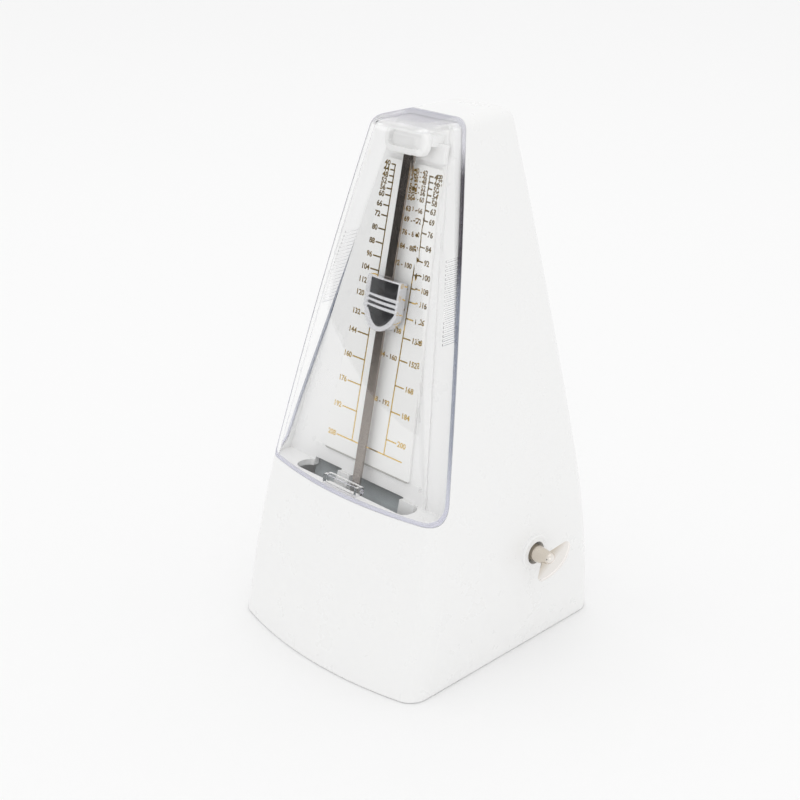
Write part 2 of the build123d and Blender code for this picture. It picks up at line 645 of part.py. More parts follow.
def second_wheel():
    wheel = gear(across(*SECOND_AT, SECOND_WHEEL_X), SECOND_TEETH, SECOND_MODULE, TO_ESCAPE, SECOND_WHEEL_WIDTH)
    for i in range(5):
        a = radians(72 * i)
        y = SECOND_AT[0] + 8 * cos(a)
        z = SECOND_AT[1] + 8 * sin(a)
        wheel -= disc(across(y, z, SECOND_WHEEL_X), 3.2, SECOND_WHEEL_WIDTH)
    return wheel - disc(across(*SECOND_AT, SECOND_WHEEL_X), SECOND_ARBOR_RADIUS + 0.02, SECOND_WHEEL_WIDTH)


def escape_arbor():
    """Arbor that carries the escape wheel past the inner plate, so its inner end is plain."""
    start = CROWN_HUB_X
    end = OUTER_PLATE_X - 0.3
    arbor = disc(across(*ESCAPE_AT, start), ESCAPE_ARBOR_RADIUS, end - start)
    arbor += disc(across(*ESCAPE_AT, end), TRAIN_PIVOT_RADIUS, OUTER_PLATE_X + PLATE_SHEET - end)
    phase = TO_ESCAPE + 180 + 180 / ESCAPE_PINION_TEETH
    return arbor + gear(across(*ESCAPE_AT, SECOND_WHEEL_X - 1.0), ESCAPE_PINION_TEETH, SECOND_MODULE, phase, 4.0)


def escape_wheel():
    """Crown wheel: saw teeth on a rim that points at the pendulum's arbor."""
    rim = tube(across(*ESCAPE_AT, CROWN_TIP_X), ESCAPE_RADIUS, ESCAPE_RADIUS - 1.2, CROWN_REAR_X - CROWN_TIP_X)
    pitch = 2 * pi * ESCAPE_RADIUS / ESCAPE_TEETH
    gap = make_face(Polyline((0, -0.1), (0.72 * pitch, -0.1), (0.72 * pitch, 0.3), (0.18 * pitch, 1.9),
                             (0, 1.9), close=True))
    gap = Pos(ESCAPE_RADIUS + 1, 0, 0) * extrude(Plane.YZ * gap, -4)
    turn = 360 / ESCAPE_TEETH
    cuts = [across(*ESCAPE_AT, CROWN_TIP_X) * Rot(0, 0, i * turn) * gap for i in range(ESCAPE_TEETH)]
    rim -= cuts
    web = tube(across(*ESCAPE_AT, CROWN_WEB_X), ESCAPE_RADIUS - 1.0, ESCAPE_ARBOR_RADIUS + 0.02,
               CROWN_REAR_X - CROWN_WEB_X)
    return rim + web


def pendulum_arbor():
    front = FRONT_BUSH_DEPTH - 0.8
    rear = REAR_BRIDGE_DEPTH + REAR_BRIDGE_SHEET + 1.5
    return disc(on_face(0, PIVOT, rear), PENDULUM_ARBOR_RADIUS, rear - front)


def slot_sheet():
    """Steel sheet that is seen through the slot, behind the rod."""
    sheet = on_face(SHEET_X, SHEET_LOW, SHEET_DEPTH + SHEET_THICKNESS)
    return sheet * Box(SHEET_WIDTH, SHEET_HIGH - SHEET_LOW, SHEET_THICKNESS, align=UP_FACE)


def front_bridge():
    """Steel angle across the case under the slot: an upright web with a ledge turned to the front."""
    half = BRIDGE_SPOTS[1] + 5
    web = on_face(0, BRIDGE_LOW, BRIDGE_DEPTH + BRIDGE_SHEET) * Box(
        2 * half, BRIDGE_HIGH - BRIDGE_LOW, BRIDGE_SHEET, align=UP_FACE)
    ledge = on_face(0, BRIDGE_HIGH - BRIDGE_SHEET, BRIDGE_DEPTH) * Box(
        2 * half - 22, BRIDGE_SHEET, 4.0, align=UP_FACE)
    bridge = web + ledge
    for x in BRIDGE_SPOTS:
        place = on_face(x, (BRIDGE_LOW + BRIDGE_HIGH) / 2, BRIDGE_DEPTH + 3)
        bridge -= disc(place, 1.5, 6)
    return bridge - disc(on_face(0, PIVOT, BRIDGE_DEPTH + 3), 3.0 + 0.02, 6)


def bridge_screws():
    screws = []
    for x in BRIDGE_SPOTS:
        place = on_face(x, (BRIDGE_LOW + BRIDGE_HIGH) / 2, BRIDGE_DEPTH + BRIDGE_SHEET + 1.2)
        screws.append(place * pan_screw(2.6, 1.2, 4.4))
    y, z = face_point(PIVOT, REAR_BRIDGE_DEPTH)
    screws.append(across(y, z - REAR_SCREW_DROP, INNER_PLATE_X - 1.5 - 1.2) * pan_screw(2.4, 1.2, 3.0))
    return group(screws)


def front_bush():
    place = on_face(0, PIVOT, BRIDGE_DEPTH + BRIDGE_SHEET)
    bush = disc(place, 3.0, BRIDGE_DEPTH + BRIDGE_SHEET - FRONT_BUSH_DEPTH)
    bush += disc(on_face(0, PIVOT, BRIDGE_DEPTH), 4.2, 1.0)
    return bush - disc(on_face(0, PIVOT, 20), PENDULUM_ARBOR_RADIUS + FIT, 20)


def rear_bridge():
    """Steel arm from the inner plate that carries the rear end of the pendulum's arbor."""
    arm = on_face(3, PIVOT, REAR_BRIDGE_DEPTH + REAR_BRIDGE_SHEET) * Box(16, 11, REAR_BRIDGE_SHEET, align=LOW)
    y, z = face_point(PIVOT, REAR_BRIDGE_DEPTH)
    arm &= Pos(-20, 0, 0) * Box(20 + INNER_PLATE_X, FAR, FAR, align=(Align.MIN, Align.CENTER, Align.CENTER))
    tab = Pos(INNER_PLATE_X - 1.5, y, z - 14) * Box(1.5, 8, 14, align=(Align.MIN, Align.CENTER, Align.MIN))
    arm += tab
    arm -= disc(across(y, z - REAR_SCREW_DROP, INNER_PLATE_X - 5), 1.4, 10)
    return arm - disc(on_face(0, PIVOT, REAR_BRIDGE_DEPTH + 6), 3.0 + 0.02, 12)


def rear_bush():
    place = on_face(0, PIVOT, REAR_BRIDGE_DEPTH + REAR_BRIDGE_SHEET)
    bush = disc(place, 3.0, REAR_BRIDGE_SHEET) + disc(on_face(0, PIVOT, REAR_BRIDGE_DEPTH), 4.2, 1.0)
    return bush - disc(on_face(0, PIVOT, 60), PENDULUM_ARBOR_RADIUS + FIT, 20)


def rod_at(depth):
    return on_face(0, PIVOT, depth)


def pendulum_rod():
    """Flat strip from inside the bob to the clip, with a hole for the arbor."""
    strip = on_face(0, ROD_LOW, ROD_DEPTH + ROD_THICKNESS / 2) * Box(
        ROD_WIDTH, ROD_HIGH - ROD_LOW, ROD_THICKNESS, align=UP_FACE)
    return strip - disc(rod_at(ROD_DEPTH + 2), PENDULUM_ARBOR_RADIUS + 0.02, 4)


def rod_hub():
    """Block behind the rod that holds it square on the arbor."""
    thickness = 5.0
    rear = ROD_DEPTH + ROD_THICKNESS / 2 + thickness
    hub = rod_at(rear) * Box(9, 11, thickness, align=LOW)
    hub = fillet(hub.edges().filter_by(Axis(FACE.origin, FACE.z_dir)), 2.0)
    return hub - disc(rod_at(rear), PENDULUM_ARBOR_RADIUS + 0.02, 10)


def pendulum_bob():
    """Heavy drum at the foot of the rod, slotted for it."""
    rear = ROD_DEPTH + BOB_THICKNESS / 2
    bob = disc(on_face(0, BOB, rear), BOB_RADIUS, BOB_THICKNESS)
    bob = chamfer(bob.edges().filter_by(GeomType.CIRCLE), 1.0)
    slot = Box(ROD_WIDTH + 0.06, 3 * BOB_RADIUS, ROD_THICKNESS + 0.06)
    return bob - on_face(0, BOB, ROD_DEPTH) * slot


def pallet(depth, lean):
    """Collar on the arbor with a flag that points at the escape wheel's rim."""
    collar = disc(rod_at(depth + 1.5), 3.0, 3.0)
    flag = rod_at(depth) * Rot(0, 0, lean) * Box(
        PALLET_REACH, 0.8, 2.4, align=(Align.MIN, Align.CENTER, Align.CENTER))
    return collar + flag - disc(rod_at(depth + 3), PENDULUM_ARBOR_RADIUS + 0.02, 6)


def entry_pallet():
    return pallet(ROD_DEPTH + ESCAPE_BEHIND_ROD - ESCAPE_RADIUS + 0.6, 40)


def exit_pallet():
    return pallet(ROD_DEPTH + ESCAPE_BEHIND_ROD + ESCAPE_RADIUS - 0.6, -40)


def sliding_weight():
    """Shield-shaped slider with three finger ribs, cut through for the rod and its spring."""
    low = WEIGHT_TOP - WEIGHT_HEIGHT
    shoulder = low + 9.5
    outline = [
        Line((-WEIGHT_HALF, WEIGHT_TOP), (WEIGHT_HALF, WEIGHT_TOP)),
        Line((WEIGHT_HALF, WEIGHT_TOP), (WEIGHT_HALF, shoulder)),
        ThreePointArc((WEIGHT_HALF, shoulder), (0, low), (-WEIGHT_HALF, shoulder)),
        Line((-WEIGHT_HALF, shoulder), (-WEIGHT_HALF, WEIGHT_TOP)),
    ]
    body = FACE * Pos(0, 0, -WEIGHT_REAR) * extrude(make_face(Curve() + outline), WEIGHT_REAR - WEIGHT_FRONT - 0.9)
    for i in range(3):
        up = WEIGHT_TOP - WEIGHT_RIB_DROP - WEIGHT_RIB_PITCH * i
        rib = on_face(0, up, WEIGHT_FRONT + 0.9) * Rot(0, 90, 0) * Cylinder(1.0, 2 * WEIGHT_HALF - 1.6)
        body += rib & (on_face(0, up, WEIGHT_REAR - 1) * Box(40, 10, WEIGHT_REAR - WEIGHT_FRONT - 1, align=LOW))
    channel = on_face(0, WEIGHT_TOP, ROD_DEPTH + 0.7) * Box(ROD_WIDTH + 0.6, 90, 2.2, align=LOW)
    return body - channel


def weight_spring():
    """Leaf inside the weight, between its roof and the rod."""
    middle = WEIGHT_TOP - WEIGHT_HEIGHT / 2
    return on_face(0, middle, ROD_DEPTH - 1.2) * Box(3.2, 14.0, 0.3, align=LOW)


NODES = [
    case_shell, base_plate, feet, base_screws, movement_screws, clear_cover, scale_plate, rod_clip,
    inner_plate, outer_plate, pillars, pillar_screws, train_bushes,
    spring_barrel, barrel_cover, mainspring, winding_arbor, ratchet_wheel, click, click_screw, click_spring,
    winding_key, second_arbor, second_wheel, escape_arbor, escape_wheel,
    slot_sheet, front_bridge, bridge_screws, front_bush, rear_bridge, rear_bush,
    pendulum_arbor, pendulum_rod, rod_hub, pendulum_bob, entry_pallet, exit_pallet, sliding_weight, weight_spring,
]

os.makedirs("parts", exist_ok=True)
pieces = {node.__name__: node() for node in NODES}
boxes = [piece.bounding_box() for piece in pieces.values()]
middle_x = (min(box.min.X for box in boxes) + max(box.max.X for box in boxes)) / 2
middle_y = (min(box.min.Y for box in boxes) + max(box.max.Y for box in boxes)) / 2
print("box centre", middle_x, middle_y)
for name, piece in pieces.items():
    export_step(piece.moved(Pos(-middle_x, -middle_y, 0)), f"parts/{name}.step")
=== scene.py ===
"""Dresses the metronome: finishes, the tempo scale, the weight, the edge of the cover and the stage.

Lengths are in metres. Places on the tilted front are given across (x), up the rod and out of the front,
all measured from the pivot of the pendulum.
"""
import json
from math import cos, pi, radians, sin, sqrt

import bmesh
import bpy
from bpy.props import FloatProperty, FloatVectorProperty, PointerProperty
from bpy.types import Operator, Panel, PropertyGroup
from mathutils import Matrix, Vector


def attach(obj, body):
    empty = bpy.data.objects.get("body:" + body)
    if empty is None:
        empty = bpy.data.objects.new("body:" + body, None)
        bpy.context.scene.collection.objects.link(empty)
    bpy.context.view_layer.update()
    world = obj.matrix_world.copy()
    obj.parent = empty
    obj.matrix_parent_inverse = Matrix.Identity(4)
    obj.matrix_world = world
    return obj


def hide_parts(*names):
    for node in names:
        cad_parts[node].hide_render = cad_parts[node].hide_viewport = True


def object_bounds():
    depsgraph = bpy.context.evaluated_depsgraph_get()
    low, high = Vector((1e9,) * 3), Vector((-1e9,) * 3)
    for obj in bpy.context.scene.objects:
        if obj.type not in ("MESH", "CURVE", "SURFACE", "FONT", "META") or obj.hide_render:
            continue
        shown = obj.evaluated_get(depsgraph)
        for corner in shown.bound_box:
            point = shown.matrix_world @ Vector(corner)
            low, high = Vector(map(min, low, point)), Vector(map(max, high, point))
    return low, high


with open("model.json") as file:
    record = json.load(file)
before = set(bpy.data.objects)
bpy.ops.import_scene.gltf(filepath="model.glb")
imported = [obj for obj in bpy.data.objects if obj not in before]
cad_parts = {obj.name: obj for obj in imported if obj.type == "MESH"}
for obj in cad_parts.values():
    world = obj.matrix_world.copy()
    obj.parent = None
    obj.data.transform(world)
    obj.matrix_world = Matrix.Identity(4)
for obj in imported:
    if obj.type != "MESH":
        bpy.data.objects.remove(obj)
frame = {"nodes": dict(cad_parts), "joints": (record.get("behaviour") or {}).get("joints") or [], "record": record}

bl_info = {
    "name": "Metronome",
    "version": (1, 0, 0),
    "blender": (4, 5, 0),
    "location": "View3D > Sidebar > Metronome",
    "description": "Finishes, tempo scale and stage for a pendulum metronome",
    "category": "Object",
}

MM = 0.001
CAD_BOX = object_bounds()
JOINTS = {joint["name"]: joint for joint in frame["joints"]}
PIVOT = Vector(JOINTS["pendulum_swing"]["pos_m"])
OUT = Vector(JOINTS["pendulum_swing"]["axis"]).normalized()
UP = Vector(JOINTS["weight_slide"]["axis"]).normalized()
ACROSS = UP.cross(OUT)
FACE = Matrix((ACROSS, UP, OUT)).transposed().to_4x4()
FACE.translation = PIVOT
FINISHED = "_finish"


def face_extent(node):
    """Lowest and highest corner of a node in face coordinates."""
    inverse = FACE.inverted()
    points = [inverse @ vertex.co for vertex in frame["nodes"][node].data.vertices]
    low = Vector(min(p[i] for p in points) for i in range(3))
    high = Vector(max(p[i] for p in points) for i in range(3))
    return low, high


# Pieces that the print, the weight and the slot's shade are fitted to
PLATE_LOW, PLATE_HIGH = face_extent("scale_plate")
WEIGHT_LOW, WEIGHT_HIGH = face_extent("sliding_weight")
ROD_HIGH = face_extent("pendulum_rod")[1]
SHEET_HIGH = face_extent("slot_sheet")[1]
SHEET_SHADE = 7.0 * MM
# Line where the cover meets the case, seen from the side
PARTING_LOW = Vector((0.0, -30.1 * MM, 73.8 * MM))
PARTING_HIGH = Vector((0.0, 12.7 * MM, 224.5 * MM))
PARTING_RADIUS = 10.0 * MM
COVER_GAP = 0.3 * MM
REARWARD = Vector((0.0, (PARTING_HIGH - PARTING_LOW).z, -(PARTING_HIGH - PARTING_LOW).y)).normalized()
DOWN = Vector((0.0, 0.0, -1.0))
# Cut edge of the cover
EDGE_WIDTH = 0.8 * MM
EDGE_TURNS = 4
EDGE_PROUD = 0.03 * MM
EDGE_ALPHA = 0.70
MASK_SOFT = 0.1 * MM
# Space of the cover's latch, which the cut edge leaves free
LATCH_HALF = 10.6 * MM
LATCH_REACH = 40.0 * MM
LATCH_BACK = 3.0 * MM
LATCH_FRONT = 9.6 * MM
# Rod channel and rib steps of the weight
CHANNEL_BACK = -0.7 * MM
CHANNEL_FRONT = 1.5 * MM
RIB_STEP = 0.02 * MM
# Gap between a tick and its number
NUMBER_GAP = 0.9 * MM
# Meshes
MERGE_DISTANCE = 1e-7
SHARP_ANGLE = radians(35.0)
# Painted shadow along the lower edge of the plate, and where the key's barrel ends and its wings with their
# painted reflection begin
PLATE_SHADOW_BAND = 0.7 * MM
WING_OUT = 65.8 * MM
WING_SOFT = 3.2 * MM
# Clear plastic: the top shows less of itself, and a wall seen edge-on is tinted
CROWN_Z = 222.6 * MM
CROWN_SOFT = 1.4 * MM
CROWN_ALPHA = 0.4
GRAZING = (0.70, 0.94)
GRAZING_SHARE = 0.8
GRAZING_TINT = (0.50, 0.48, 0.57)
CLEAR_TINT = (0.99, 0.99, 0.99)


def edge_planes():
    """Planes that cut the rim off the cover at its foot, round corner and rear, each a point and a normal."""
    inset = PARTING_RADIUS + COVER_GAP
    z = PARTING_LOW.z + inset
    corner = Vector((0.0, (REARWARD.dot(PARTING_LOW) - inset - REARWARD.z * z) / REARWARD.y, z))
    normals = [DOWN.slerp(REARWARD, i / EDGE_TURNS) for i in range(EDGE_TURNS + 1)]
    return [(corner + normal * (PARTING_RADIUS - EDGE_WIDTH), normal) for normal in normals]


def length(name, default, description):
    """Setting in metres."""
    return FloatProperty(name=name, default=default, description=description, unit="LENGTH", precision=5)


def colour(name, default, description):
    """Setting with three linear channels."""
    return FloatVectorProperty(name=name, default=default, description=description, subtype="COLOR",
                               size=3, min=0.0, max=1.0)


class MetronomePrint(PropertyGroup):
    """Sizes of the gold print on the scale plate."""
    rail: length("Rail from the middle", 9.7 * MM, "Distance of each printed upright line from the middle")
    line: length("Line width", 0.6 * MM, "Width of the printed lines and ticks")
    tick_high: length("Highest tick", 1.9 * MM, "Length of the highest tick on either side")
    left_tick_low: length("Lowest left tick", 9.3 * MM, "Length of the lowest tick on the left")
    right_tick_low: length("Lowest right tick", 5.8 * MM, "Length of the lowest tick on the right")
    digit: length("Digit size", 3.2 * MM, "Text size of the tempo numbers")
    range_digit: length("Range size", 2.9 * MM, "Text size of the tempo ranges in the middle")
    range_end: length("Range end", 8.2 * MM, "Right end of the tempo ranges")
    bold: length("Boldness", 0.10 * MM, "How much each stroke of the text is thickened")
    base_end: length("Base line end", 20.0 * MM, "Right end of the lowest line")
    film: length("Film thickness", 0.03 * MM, "Thickness of the print")
    balance: length("Balance length", 147.3 * MM, "Moment of the lower bob over the mass of the weight")
    gyration: FloatProperty(name="Gyration", default=0.01045, precision=5,
                            description="Moment of inertia over the mass of the weight, in square metres")
    zero: length("Scale zero", 21.26 * MM, "Height above the pivot at which the tempo law starts")


class MetronomeWeight(PropertyGroup):
    """Shape of the sliding weight's front."""
    bevel: length("Bevel", 0.55 * MM, "Width and depth of the edge along the top and the foot")
    edge: length("Edge rounding", 0.8 * MM, "Width of the rounded edge at either side")
    edge_depth: length("Edge depth", 0.7 * MM, "How far the rounded edge falls back")
    panel: length("Panel", 7.0 * MM, "Height of the flat panel at the top")
    pitch: length("Rib pitch", 2.15 * MM, "Distance between the finger ribs")
    slope: length("Rib slope", 1.1 * MM, "Height of the sloping upper side of a rib")
    groove: length("Groove", 0.45 * MM, "Depth of the grooves between the ribs")
    bow: length("Bow radius", 48.0 * MM, "Radius of the front from side to side")
    shield_bow: length("Shield bow radius", 24.0 * MM, "Radius from side to side that the shield's foot adds")
    lift: FloatProperty(name="Shield lift", default=0.13, description="Slope outwards at the shield's top")
    fall: FloatProperty(name="Shield fall", default=0.09, description="Slope back at the shield's foot")
    play: length("Rod play", 0.3 * MM, "Room beside the rod in its channel")


class MetronomeColours(PropertyGroup):
    """Colours that a user would change."""
    case: colour("Case", (0.90, 0.90, 0.895), "Gloss plastic of the case and the rod clip")
    base: colour("Base plate", (0.80, 0.80, 0.79), "Matt plastic of the base plate")
    plate: colour("Scale plate", (0.89, 0.89, 0.88), "Satin plastic of the scale plate")
    gold: colour("Print", (0.83, 0.58, 0.20), "Metallic ink of the tempo scale")
    rod: colour("Rod", (0.36, 0.32, 0.29), "Steel of the pendulum rod")
    zinc: colour("Zinc plate", (0.52, 0.56, 0.58), "Plated steel of the frame and the screws")
    brass: colour("Brass", (0.78, 0.56, 0.25), "Wheels, pillars and bushes")
    nickel: colour("Nickel", (0.69, 0.63, 0.55), "Plating of the winding key's barrel")
    # Painted reflection: the wings are nickel like the barrel, and this lighter tone paints the bright room that
    # they mirror
    wing: colour("Key wing", (0.90, 0.87, 0.84), "Polished wings of the winding key")
    sheet: colour("Slot sheet", (0.74, 0.81, 0.84), "Dull steel sheet behind the slot")
    # Painted shadow along the lower edge of the scale plate, where it meets the case
    plate_edge: colour("Plate edge", (0.40, 0.39, 0.37), "Lower edge of the scale plate")


class MetronomeStage(PropertyGroup):
    """Camera, floor and light."""
    azimuth: FloatProperty(name="Camera azimuth", default=radians(45.74), subtype="ANGLE",
                           description="Turn of the camera towards the key side")
    elevation: FloatProperty(name="Camera elevation", default=radians(23.43), subtype="ANGLE",
                             description="Height of the camera above the horizon")
    distance: length("Camera distance", 0.6042, "Distance from the camera to the point it looks at")
    aim_y: length("Aim depth", -0.00743, "Depth of the point that the camera looks at")
    aim_z: length("Aim height", 0.1053, "Height of the point that the camera looks at")
    lens: FloatProperty(name="Lens", default=64.24, description="Focal length in millimetres", unit="CAMERA")
    sky: FloatProperty(name="Sky", default=0.98, description="Strength of the light from all round")
    floor: colour("Floor", (0.94, 0.94, 0.94), "Paper that the metronome stands on")


def noise(nodes, scale, detail=2.0, roughness=0.5):
    """Noise texture node."""
    node = nodes.new("ShaderNodeTexNoise")
    node.inputs["Scale"].default_value = scale
    node.inputs["Detail"].default_value = detail
    node.inputs["Roughness"].default_value = roughness
    return node


def remap(nodes, links, source, low, high, from_low=0.0, from_high=1.0):
    """Puts a value from one span onto another and keeps it there."""
    node = nodes.new("ShaderNodeMapRange")
    node.inputs["From Min"].default_value = from_low
    node.inputs["From Max"].default_value = from_high
    node.inputs["To Min"].default_value = low
    node.inputs["To Max"].default_value = high
    links.new(source, node.inputs["Value"])
    return node.outputs["Result"]


def shader_group(name, inputs, outputs):
    """Empty shader node group with its sockets, and the group's input and output nodes."""
    group = bpy.data.node_groups.new(name, "ShaderNodeTree")
    for label, default in inputs.items():
        kind = "NodeSocketVector" if isinstance(default, tuple) else "NodeSocketFloat"
        socket = group.interface.new_socket(label, in_out="INPUT", socket_type=kind)
        socket.default_value = default
    for label in outputs:
        group.interface.new_socket(label, in_out="OUTPUT", socket_type="NodeSocketFloat")
    return group, group.nodes.new("NodeGroupInput"), group.nodes.new("NodeGroupOutput")


def moulded_skin_group():
    """Faint mottle and orange peel of moulded plastic."""
    group, start, end = shader_group("moulded_skin", {"Scale": 1.0}, ["Shade", "Polish", "Height"])
    nodes, links = group.nodes, group.links
    place = nodes.new("ShaderNodeTexCoord")
    sized = nodes.new("ShaderNodeVectorMath")
    sized.operation = "SCALE"
    links.new(place.outputs["Object"], sized.inputs[0])
    links.new(start.outputs["Scale"], sized.inputs["Scale"])
    mottle = noise(nodes, 22.0, 3.0, 0.6)
    peel = noise(nodes, 900.0, 2.0, 0.5)
    swirl = noise(nodes, 90.0, 4.0, 0.6)
    for node in (mottle, peel, swirl):
        links.new(sized.outputs["Vector"], node.inputs["Vector"])
    links.new(remap(nodes, links, mottle.outputs["Fac"], 0.97, 1.0, 0.3, 0.7), end.inputs["Shade"])
    links.new(remap(nodes, links, swirl.outputs["Fac"], 0.0, 1.0, 0.3, 0.7), end.inputs["Polish"])
    links.new(peel.outputs["Fac"], end.inputs["Height"])


def drawn_grain_group():
    """Fine lines of drawn, rolled or turned metal, stretched by the Grain vector."""
    outputs = ["Streak", "Tarnish", "Height"]
    group, start, end = shader_group("drawn_grain", {"Grain": (1.0, 1.0, 1.0)}, outputs)
    nodes, links = group.nodes, group.links
    place = nodes.new("ShaderNodeTexCoord")
    stretched = nodes.new("ShaderNodeVectorMath")
    stretched.operation = "MULTIPLY"
    links.new(place.outputs["Object"], stretched.inputs[0])
    links.new(start.outputs["Grain"], stretched.inputs[1])
    streak = noise(nodes, 1.0, 3.0, 0.7)
    links.new(stretched.outputs["Vector"], streak.inputs["Vector"])
    tarnish = noise(nodes, 140.0, 4.0, 0.6)
    links.new(place.outputs["Object"], tarnish.inputs["Vector"])
    links.new(remap(nodes, links, streak.outputs["Fac"], 0.0, 1.0, 0.25, 0.75), end.inputs["Streak"])
    links.new(remap(nodes, links, tarnish.outputs["Fac"], 0.0, 1.0, 0.35, 0.7), end.inputs["Tarnish"])
    links.new(streak.outputs["Fac"], end.inputs["Height"])


def handling_group():
    """Soft smears and fine dust left by handling."""
    group, start, end = shader_group("handling", {"Scale": 1.0}, ["Smear", "Dust"])
    nodes, links = group.nodes, group.links
    place = nodes.new("ShaderNodeTexCoord")
    sized = nodes.new("ShaderNodeVectorMath")
    sized.operation = "SCALE"
    links.new(place.outputs["Object"], sized.inputs[0])
    links.new(start.outputs["Scale"], sized.inputs["Scale"])
    smear = noise(nodes, 45.0, 3.0, 0.65)
    dust = noise(nodes, 1800.0, 1.0, 0.4)
    for node in (smear, dust):
        links.new(sized.outputs["Vector"], node.inputs["Vector"])
    links.new(remap(nodes, links, smear.outputs["Fac"], 0.0, 1.0, 0.45, 0.75), end.inputs["Smear"])
    links.new(remap(nodes, links, dust.outputs["Fac"], 0.0, 1.0, 0.62, 0.72), end.inputs["Dust"])


class Finish:
    """A material with one Principled shader, to which effects are added."""

    def __init__(self, name, base, roughness, metallic=0.0):
        self.material = bpy.data.materials.new(name + FINISHED)
        self.material.use_nodes = True
        self.nodes = self.material.node_tree.nodes
        self.links = self.material.node_tree.links
        self.shader = self.nodes["Principled BSDF"]
        self.base = (*base, 1.0)
        self.shader.inputs["Base Color"].default_value = self.base
        self.shader.inputs["Roughness"].default_value = roughness
        self.shader.inputs["Metallic"].default_value = metallic

    def group(self, tree, **values):
        """Adds a node group and sets its inputs."""
        node = self.nodes.new("ShaderNodeGroup")
        node.node_tree = tree
        for label, value in values.items():
            node.inputs[label].default_value = value
        return node

    def tint(self, mask, other):
        """Runs the base colour towards another one where the mask is high."""
        mix = self.nodes.new("ShaderNodeMix")
        mix.data_type = "RGBA"
        mix.inputs["A"].default_value = self.base
        mix.inputs["B"].default_value = (*other, 1.0)
        self.links.new(mask, mix.inputs["Factor"])
        self.links.new(mix.outputs["Result"], self.shader.inputs["Base Color"])

    def over(self, mask, other):
        """Lays another colour over what the base colour shows where the mask is high."""
        below = self.shader.inputs["Base Color"].links[0].from_socket
        mix = self.nodes.new("ShaderNodeMix")
        mix.data_type = "RGBA"
        mix.inputs["B"].default_value = (*other, 1.0)
        self.links.new(below, mix.inputs["A"])
        self.links.new(mask, mix.inputs["Factor"])
        self.links.new(mix.outputs["Result"], self.shader.inputs["Base Color"])

    def rough(self, mask, low, high):
        """Spreads the roughness between two values."""
        self.links.new(remap(self.nodes, self.links, mask, low, high), self.shader.inputs["Roughness"])

    def bump(self, height, strength, distance):
        """Adds a relief to the surface."""
        node = self.nodes.new("ShaderNodeBump")
        node.inputs["Strength"].default_value = strength
        node.inputs["Distance"].default_value = distance
        self.links.new(height, node.inputs["Height"])
        self.links.new(node.outputs["Normal"], self.shader.inputs["Normal"])

    def constant(self, **values):
        """Sets shader inputs; an underscore stands for a space."""
        for label, value in values.items():
            self.shader.inputs[label.replace("_", " ")].default_value = value


def scaled(base, factor):
    """A colour made darker by a factor."""
    return tuple(channel * factor for channel in base)


def plastic(name, base, roughness, polish, peel, scale=1.0):
    """Moulded plastic: mottled tone, uneven polish and orange peel."""
    finish = Finish(name, base, roughness)
    skin = finish.group(bpy.data.node_groups["moulded_skin"], Scale=scale)
    finish.tint(skin.outputs["Shade"], scaled(base, 0.993))
    finish.rough(skin.outputs["Polish"], roughness - polish, roughness + polish)
    finish.bump(skin.outputs["Height"], peel, 0.05 * MM)
    return finish


def metal(name, base, roughness, grain, aged, depth=0.2, metallic=1.0):
    """Worked metal: grain lines, uneven gloss and a duller tone where it has aged."""
    finish = Finish(name, base, roughness, metallic)
    lines = finish.group(bpy.data.node_groups["drawn_grain"], Grain=grain)
    finish.tint(lines.outputs["Tarnish"], aged)
    finish.rough(lines.outputs["Streak"], roughness * 0.7, roughness * 1.3)
    finish.bump(lines.outputs["Height"], depth, 0.02 * MM)
    return finish


def plated(name, base, roughness):
    """Bright plating: a mirror with faint smears and dust."""
    finish = Finish(name, base, roughness, 1.0)
    touched = finish.group(bpy.data.node_groups["handling"], Scale=2.0)
    finish.rough(touched.outputs["Smear"], roughness, roughness + 0.06)
    finish.tint(touched.outputs["Dust"], scaled(base, 0.9))
    return finish


def plane_mask(finish, normal, reach, soft):
    """1 where a point lies further than a reach along a normal, falling to 0 over a soft edge."""
    nodes, links = finish.nodes, finish.links
    place = nodes.new("ShaderNodeTexCoord")
    along = nodes.new("ShaderNodeVectorMath")
    along.operation = "DOT_PRODUCT"
    along.inputs[1].default_value = normal
    links.new(place.outputs["Object"], along.inputs[0])
    return remap(nodes, links, along.outputs["Value"], 0.0, 1.0, reach - soft, reach)


def clear_plastic():
    """Clear moulded cover: shadows pass straight through it, and its cut edge is left to a piece."""
    finish = Finish("clear_plastic", (1.0, 1.0, 1.0), 0.0)
    finish.constant(Transmission_Weight=1.0, IOR=1.45)
    nodes, links = finish.nodes, finish.links
    touched = finish.group(bpy.data.node_groups["handling"], Scale=1.0)
    finish.rough(touched.outputs["Smear"], 0.0, 0.008)
    crown = plane_mask(finish, -DOWN, CROWN_Z, CROWN_SOFT)
    alpha = remap(nodes, links, crown, 1.0, CROWN_ALPHA)
    for point, normal in edge_planes():
        rim = plane_mask(finish, normal, normal.dot(point), MASK_SOFT)
        thinned = nodes.new("ShaderNodeMath")
        thinned.operation = "MINIMUM"
        links.new(alpha, thinned.inputs[0])
        links.new(remap(nodes, links, rim, 1.0, 0.0), thinned.inputs[1])
        alpha = thinned.outputs["Value"]
    links.new(alpha, finish.shader.inputs["Alpha"])
    rays = nodes.new("ShaderNodeLightPath")
    either = nodes.new("ShaderNodeMath")
    either.operation = "MAXIMUM"
    links.new(rays.outputs["Is Shadow Ray"], either.inputs[0])
    links.new(rays.outputs["Is Diffuse Ray"], either.inputs[1])
    slant = nodes.new("ShaderNodeLayerWeight")
    outline = remap(nodes, links, slant.outputs["Facing"], 0.0, GRAZING_SHARE, *GRAZING)
    shade = mixed_with_straight(finish, finish.shader.outputs["BSDF"], outline, GRAZING_TINT)
    shade = mixed_with_straight(finish, shade, either.outputs["Value"], CLEAR_TINT)
    links.new(shade, nodes["Material Output"].inputs["Surface"])


